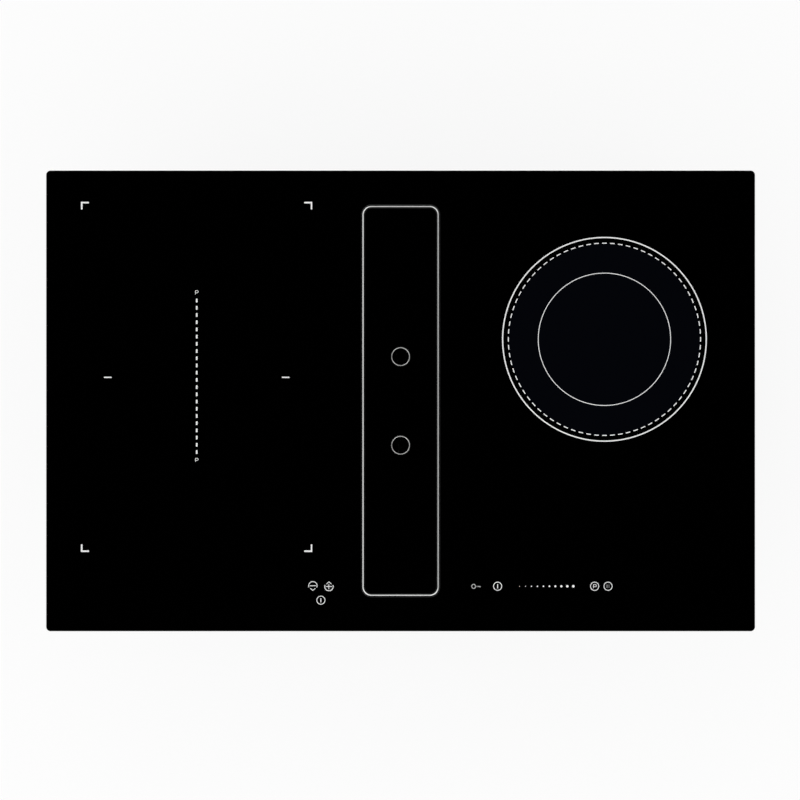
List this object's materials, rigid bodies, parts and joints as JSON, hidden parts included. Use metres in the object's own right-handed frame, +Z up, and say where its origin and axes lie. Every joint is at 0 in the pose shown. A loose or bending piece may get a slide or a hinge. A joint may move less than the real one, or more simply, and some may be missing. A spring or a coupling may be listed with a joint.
{
  "type": "downdraft induction cooktop",
  "caption": "Built-in black glass induction cooktop with a long central extraction inlet under a lift-out cover, and a blower with a rear duct outlet hanging below.",
  "frame": {"origin": "middle of the glass in plan, on the flat base of the extraction unit", "axes": "+X to the cook's right along the width, +Y to the rear, +Z up"},
  "size_m": [0.8, 0.52, 0.216],
  "materials": {
    "black_glass": "polished black glass ceramic",
    "stainless": "brushed",
    "zinc_sheet": "galvanised sheet",
    "aluminium": "mill finish",
    "mesh_aluminium": "layered expanded mesh",
    "copper": "lacquered copper litz",
    "foam": "closed-cell foam",
    "silicone": "matt silicone",
    "black_plastic": "moulded, fine texture",
    "grey_plastic": "moulded",
    "white_plastic": "moulded",
    "coil_plastic": "heat-proof moulded",
    "circuit_board": "solder mask",
    "motor_steel": "satin"
  },
  "bodies": {
    "chassis": {"glass_top": "black_glass", "perimeter_seal": "foam", "glass_frame": "zinc_sheet", "base_tray": "zinc_sheet", "inlet_trim": "stainless", "cover_gasket": "silicone", "inlet_shaft": "black_plastic", "plenum_tub": "black_plastic", "plenum_lid": "black_plastic", "fan_control_box": "black_plastic", "touch_carrier": "black_plastic", "hob_touch_board": "circuit_board", "fan_touch_board": "circuit_board", "scroll_lower": "black_plastic", "scroll_upper": "black_plastic", "inlet_hood": "black_plastic", "motor_stator": "motor_steel", "outlet_spigot": "black_plastic", "flap_pin": "stainless", "coil_carrier_left_front": "coil_plastic", "coil_winding_left_front": "copper", "coil_carrier_left_rear": "coil_plastic", "coil_winding_left_rear": "copper", "coil_carrier_right": "coil_plastic", "coil_winding_right_outer": "copper", "coil_winding_right_inner": "copper", "coil_shield_left": "aluminium", "coil_shield_right": "aluminium", "power_board_left": "circuit_board", "power_board_right": "circuit_board", "heat_sink_left": "aluminium", "heat_sink_right": "aluminium", "cooling_fan_frame_left": "black_plastic", "cooling_fan_frame_right": "black_plastic", "terminal_box": "black_plastic", "terminal_block": "white_plastic", "cable_gland": "grey_plastic", "clamp_bolt_left_front": "stainless", "clamp_bolt_right_front": "stainless", "clamp_bolt_left_rear": "stainless", "clamp_bolt_right_rear": "stainless"},
    "cover": {"cover_glass": "black_glass", "cover_backing": "stainless", "finger_ring_front": "stainless", "finger_ring_rear": "stainless"},
    "grease_filter": {"filter_basket": "stainless", "filter_mesh": "mesh_aluminium", "filter_grip": "stainless"},
    "tray": {"drip_tray": "grey_plastic"},
    "blower_wheel": {"impeller": "grey_plastic", "motor_rotor": "motor_steel"},
    "cooling_wheel_left": {"cooling_fan_wheel_left": "grey_plastic"},
    "cooling_wheel_right": {"cooling_fan_wheel_right": "grey_plastic"},
    "flap_upper": {"backdraft_flap_upper": "white_plastic"},
    "flap_lower": {"backdraft_flap_lower": "white_plastic"},
    "box_lid": {"terminal_lid": "black_plastic"},
    "clamp_left_front": {"clamp_arm_left_front": "zinc_sheet"},
    "clamp_right_front": {"clamp_arm_right_front": "zinc_sheet"},
    "clamp_left_rear": {"clamp_arm_left_rear": "zinc_sheet"},
    "clamp_right_rear": {"clamp_arm_right_rear": "zinc_sheet"}
  },
  "joints": [
    {"name": "tray_lift", "type": "slide", "parent": "chassis", "child": "tray", "axis": [0, 0, 1], "range_m": [0, 0.22]},
    {"name": "filter_lift", "type": "slide", "parent": "tray", "child": "grease_filter", "axis": [0, 0, 1], "range_m": [0, 0.12]},
    {"name": "cover_lift", "type": "slide", "parent": "grease_filter", "child": "cover", "axis": [0, 0, 1], "range_m": [0, 0.06]},
    {"name": "blower_spin", "type": "hinge", "parent": "chassis", "child": "blower_wheel", "pos_m": [0.2, -0.04, 0.05], "axis": [0, 0, 1], "continuous": true},
    {"name": "cooling_spin_left", "type": "hinge", "parent": "chassis", "child": "cooling_wheel_left", "pos_m": [-0.23, -0.018, 0.17], "axis": [0, 0, 1], "continuous": true},
    {"name": "cooling_spin_right", "type": "hinge", "parent": "chassis", "child": "cooling_wheel_right", "pos_m": [0.23, -0.178, 0.17], "axis": [0, 0, 1], "continuous": true},
    {"name": "flap_upper_swing", "type": "hinge", "parent": "chassis", "child": "flap_upper", "pos_m": [0.25, 0.2173, 0.0515], "axis": [-1, 0, 0], "range_deg": [0, 70], "stiffness_Nm_per_rad": 0.003, "springref_deg": -85.94},
    {"name": "flap_lower_swing", "type": "hinge", "parent": "chassis", "child": "flap_lower", "pos_m": [0.25, 0.2173, 0.0515], "axis": [1, 0, 0], "range_deg": [0, 70], "stiffness_Nm_per_rad": 0.003, "springref_deg": -85.94},
    {"name": "box_lid_hinge", "type": "hinge", "parent": "chassis", "child": "box_lid", "pos_m": [-0.19, 0.2266, 0.1465], "axis": [1, 0, 0], "range_deg": [0, 85]},
    {"name": "clamp_left_front_swivel", "type": "hinge", "parent": "chassis", "child": "clamp_left_front", "pos_m": [-0.346, -0.215, 0.148], "axis": [0, 0, 1], "range_deg": [0, 90]},
    {"name": "clamp_right_front_swivel", "type": "hinge", "parent": "chassis", "child": "clamp_right_front", "pos_m": [0.346, -0.215, 0.148], "axis": [0, 0, -1], "range_deg": [0, 90]},
    {"name": "clamp_left_rear_swivel", "type": "hinge", "parent": "chassis", "child": "clamp_left_rear", "pos_m": [-0.346, 0.215, 0.148], "axis": [0, 0, -1], "range_deg": [0, 90]},
    {"name": "clamp_right_rear_swivel", "type": "hinge", "parent": "chassis", "child": "clamp_right_rear", "pos_m": [0.346, 0.215, 0.148], "axis": [0, 0, 1], "range_deg": [0, 90]}
  ]
}
